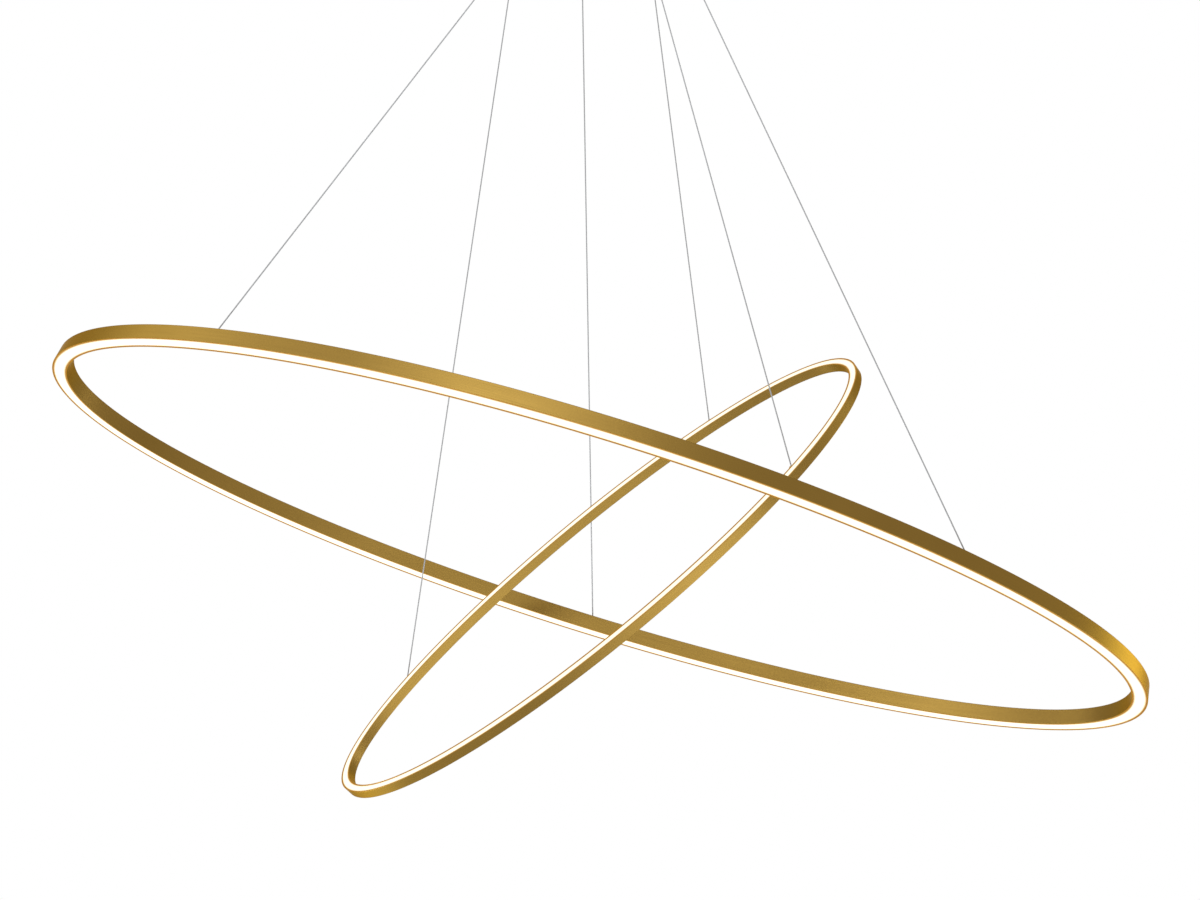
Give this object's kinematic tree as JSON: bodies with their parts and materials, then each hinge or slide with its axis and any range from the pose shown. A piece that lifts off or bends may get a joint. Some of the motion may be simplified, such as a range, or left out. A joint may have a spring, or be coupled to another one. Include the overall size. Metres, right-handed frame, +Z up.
{
  "type": "led ring chandelier",
  "caption": "Pendant light of interlocked elliptical LED rings, hung at opposite slants on taut wires from a round ceiling canopy.",
  "frame": {"origin": "centre of the ceiling mount, in the ceiling plane", "axes": "+Z up out of the top of the canopy into the ceiling, +X along the large ring as seen from the front, +Y towards the back"},
  "size_m": [1.2954, 0.4499, 1.1761],
  "materials": {
    "brass_coloured_aluminium": "brass coloured anodised, brushed along the ring",
    "opal_diffuser": "satin opal, lit from inside",
    "plain_steel": "plain",
    "plain_aluminium": "mill finish",
    "led_strip": "white solder mask",
    "turned_brass": "satin turned",
    "release_steel": "satin nickel plated",
    "wire_rope": "bare stranded",
    "driver_case": "fine texture",
    "terminal_plastic": "smooth",
    "bracket_steel": "zinc coloured"
  },
  "bodies": {
    "root": {"ceiling_bracket": "bracket_steel", "canopy_cover": "brass_coloured_aluminium", "canopy_side_screws": "turned_brass", "large_ball_sockets": "turned_brass", "small_ball_sockets": "turned_brass", "socket_nuts": "turned_brass", "large_ring_driver": "driver_case", "small_ring_driver": "driver_case", "driver_screws": "plain_steel", "terminal_block": "terminal_plastic", "terminal_screws": "plain_steel", "earth_screw": "plain_steel"},
    "large_suspension": {"large_wire_left": "wire_rope", "large_wire_right": "wire_rope", "large_gripper_left": "turned_brass", "large_gripper_right": "turned_brass", "large_pair_wire_ends": "plain_steel"},
    "large_ring": {"large_ring_housing_front": "brass_coloured_aluminium", "large_ring_housing_rear": "brass_coloured_aluminium", "large_diffuser_front": "opal_diffuser", "large_diffuser_rear": "opal_diffuser", "large_led_rail_left": "plain_aluminium", "large_led_rail_right": "plain_aluminium", "large_led_strip_left": "led_strip", "large_led_strip_right": "led_strip", "large_splice_screws": "plain_steel", "large_wire_seats": "turned_brass"},
    "large_rear_hanger": {"large_gripper_rear": "turned_brass"},
    "large_rear_wire": {"large_wire_rear": "wire_rope", "large_rear_wire_end": "plain_steel"},
    "large_left_release": {"large_release_left": "release_steel"},
    "large_rear_release": {"large_release_rear": "release_steel"},
    "large_right_release": {"large_release_right": "release_steel"},
    "small_suspension": {"small_wire_left": "wire_rope", "small_wire_rear": "wire_rope", "small_gripper_left": "turned_brass", "small_gripper_rear": "turned_brass", "small_pair_wire_ends": "plain_steel"},
    "small_ring": {"small_ring_housing_front": "brass_coloured_aluminium", "small_ring_housing_rear": "brass_coloured_aluminium", "small_diffuser_front": "opal_diffuser", "small_diffuser_rear": "opal_diffuser", "small_led_rail_left": "plain_aluminium", "small_led_rail_right": "plain_aluminium", "small_led_strip_left": "led_strip", "small_led_strip_right": "led_strip", "small_splice_screws": "plain_steel", "small_wire_posts": "turned_brass"},
    "small_front_hanger": {"small_gripper_front": "turned_brass"},
    "small_front_wire": {"small_wire_front": "wire_rope", "small_front_wire_end": "plain_steel"},
    "small_left_release": {"small_release_left": "release_steel"},
    "small_rear_release": {"small_release_rear": "release_steel"},
    "small_front_release": {"small_release_front": "release_steel"}
  },
  "joints": [
    {"name": "large_swing", "type": "hinge", "parent": "root", "child": "large_suspension", "pos_m": [0, -0.0117, -0.044], "axis": [1, 0, 0], "range_deg": [-3, 3]},
    {"name": "large_tilt", "type": "hinge", "parent": "large_suspension", "child": "large_ring", "pos_m": [-0.40746, -0.16697, -0.65552], "axis": [0.9572, -0.0152, -0.2892], "range_deg": [-3, 3]},
    {"name": "large_rear_lean", "type": "hinge", "parent": "large_suspension", "child": "large_rear_hanger", "pos_m": [-0.0068, -0.0117, -0.044], "axis": [0.9067, -0.4134, -0.0838], "range_deg": [-1, 1]},
    {"name": "large_rear_run", "type": "slide", "parent": "large_rear_hanger", "child": "large_rear_wire", "axis": [0.0158, 0.232, -0.9726], "range_m": [-0.0175, 0.0175]},
    {"name": "large_left_release_push", "type": "slide", "parent": "large_suspension", "child": "large_left_release", "axis": [0.5163, 0.2108, 0.8301], "range_m": [0, 0.0025], "stiffness_N_per_m": 400, "springref_m": -0.001},
    {"name": "large_rear_release_push", "type": "slide", "parent": "large_rear_hanger", "child": "large_rear_release", "axis": [-0.0158, -0.232, 0.9726], "range_m": [0, 0.0025], "stiffness_N_per_m": 400, "springref_m": -0.001},
    {"name": "large_right_release_push", "type": "slide", "parent": "large_suspension", "child": "large_right_release", "axis": [-0.3554, 0.1797, 0.9173], "range_m": [0, 0.0025], "stiffness_N_per_m": 400, "springref_m": -0.001},
    {"name": "small_swing", "type": "hinge", "parent": "root", "child": "small_suspension", "pos_m": [0, 0.0146, -0.044], "axis": [1, 0, 0], "range_deg": [-3, 3]},
    {"name": "small_tilt", "type": "hinge", "parent": "small_suspension", "child": "small_ring", "pos_m": [-0.22529, 0.12372, -1.03845], "axis": [0.7617, -0.0683, 0.6444], "range_deg": [-3, 3]},
    {"name": "small_front_lean", "type": "hinge", "parent": "small_suspension", "child": "small_front_hanger", "pos_m": [0.059, 0.0146, -0.044], "axis": [0.8011, -0.5384, 0.2616], "range_deg": [-0.7, 0.7]},
    {"name": "small_front_run", "type": "slide", "parent": "small_front_hanger", "child": "small_front_wire", "axis": [0.2287, -0.1285, -0.965], "range_m": [-0.0076, 0.0076]},
    {"name": "small_left_release_push", "type": "slide", "parent": "small_suspension", "child": "small_left_release", "axis": [0.1444, -0.1079, 0.9836], "range_m": [0, 0.0025], "stiffness_N_per_m": 400, "springref_m": -0.001},
    {"name": "small_rear_release_push", "type": "slide", "parent": "small_suspension", "child": "small_rear_release", "axis": [-0.1253, -0.1099, 0.986], "range_m": [0, 0.0025], "stiffness_N_per_m": 400, "springref_m": -0.001},
    {"name": "small_front_release_push", "type": "slide", "parent": "small_front_hanger", "child": "small_front_release", "axis": [-0.2287, 0.1285, 0.965], "range_m": [0, 0.0025], "stiffness_N_per_m": 400, "springref_m": -0.001}
  ],
  "couplings": [
    {"joint": "large_rear_lean", "follows": "large_tilt", "ratio": 0.29609},
    {"joint": "large_rear_run", "follows": "large_tilt", "m_per_rad": -0.31257},
    {"joint": "small_front_lean", "follows": "small_tilt", "ratio": 0.2024},
    {"joint": "small_front_run", "follows": "small_tilt", "m_per_rad": 0.13579}
  ]
}
